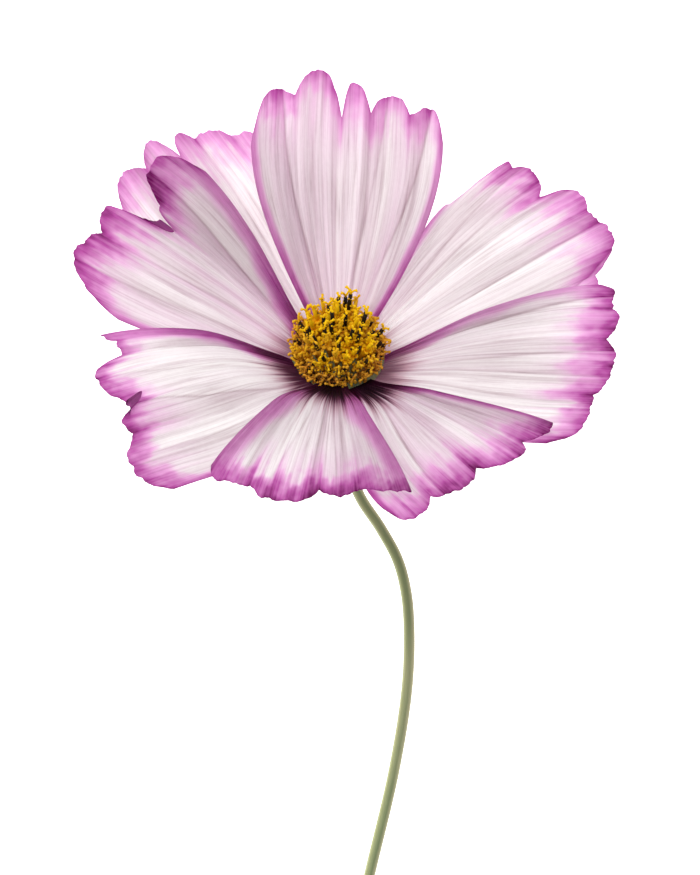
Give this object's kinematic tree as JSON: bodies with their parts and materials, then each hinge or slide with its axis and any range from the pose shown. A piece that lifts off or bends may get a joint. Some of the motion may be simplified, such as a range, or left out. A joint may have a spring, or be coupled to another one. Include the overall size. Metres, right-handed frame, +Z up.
{
  "type": "cosmos flower",
  "caption": "Cut cosmos bloom with toothed picotee petals, a domed disc of florets, bracts and a long curved bare stem, lying down as decoration.",
  "frame": {"origin": "middle of the lying flower's footprint, on the table", "axes": "+Z up from the table, +Y from the cut end of the stem towards the bloom, +X to the right seen from above"},
  "size_m": [0.075, 0.135, 0.0555],
  "materials": {
    "petal": "satin",
    "floret": "matte",
    "outer_floret": "matte",
    "stem": "satin",
    "inner_bract": "satin",
    "outer_bract": "satin"
  },
  "bodies": {
    "root": {"stem": "stem", "petal_1": "petal", "petal_2": "petal", "petal_3": "petal", "petal_4": "petal", "petal_5": "petal", "petal_6": "petal", "petal_7": "petal", "petal_8": "petal", "disc_ring_1": "outer_floret", "disc_ring_2": "outer_floret", "disc_ring_3": "floret", "disc_ring_4": "floret", "disc_ring_5": "floret", "disc_ring_6": "floret", "inner_bract_1": "inner_bract", "inner_bract_2": "inner_bract", "inner_bract_3": "inner_bract", "inner_bract_4": "inner_bract", "inner_bract_5": "inner_bract", "inner_bract_6": "inner_bract", "inner_bract_7": "inner_bract", "inner_bract_8": "inner_bract", "outer_bract_1": "outer_bract", "outer_bract_2": "outer_bract", "outer_bract_3": "outer_bract", "outer_bract_4": "outer_bract", "outer_bract_5": "outer_bract", "outer_bract_6": "outer_bract", "outer_bract_7": "outer_bract", "outer_bract_8": "outer_bract"}
  },
  "joints": []
}
